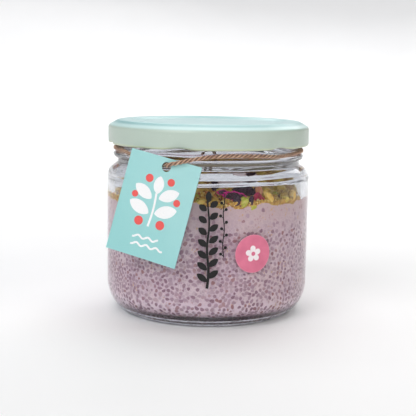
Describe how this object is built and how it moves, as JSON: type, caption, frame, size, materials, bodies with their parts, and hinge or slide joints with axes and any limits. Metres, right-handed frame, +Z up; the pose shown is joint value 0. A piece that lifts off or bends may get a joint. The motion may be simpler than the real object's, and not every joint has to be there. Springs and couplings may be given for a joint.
{
  "type": "chia pudding in a shut glass jar",
  "caption": "Chia seed pudding with a nut and petal topping, in a shut glass jar with a twist-off metal lid, a twine, a card tag and a round label",
  "frame": {"origin": "On the surface the jar stands on, under the middle of the object's box. The jar's axis is vertical and stands 0.65 mm behind the origin.", "axes": "+Z is up along the jar's axis. -Y is the front, from where the label is seen right of the middle and the tag left of it. +X is to the right seen from the front."},
  "size_m": [0.0864, 0.0912, 0.0812],
  "materials": {
    "glass": "clear smooth jar glass",
    "lid_enamel": "satin mint lacquer on tinplate",
    "pudding": "moist lilac-pink pudding full of swollen chia seeds",
    "topping": "ground and chopped nuts, yellow-green to brown",
    "petal": "dried flower petals, dark purple to crimson",
    "card": "mint card with a fine linen grain and plain white and coral shapes",
    "twine": "twisted natural jute",
    "label": "satin pink paper"
  },
  "bodies": {
    "root": {"jar_glass": "glass", "lid": "lid_enamel", "pudding": "pudding", "topping": "topping", "petal_1": "petal", "petal_2": "petal", "petal_3": "petal", "petal_4": "petal", "petal_5": "petal", "petal_6": "petal", "petal_7": "petal", "petal_8": "petal", "hang_tag": "card", "twine": "twine", "round_label": "label"}
  },
  "joints": []
}
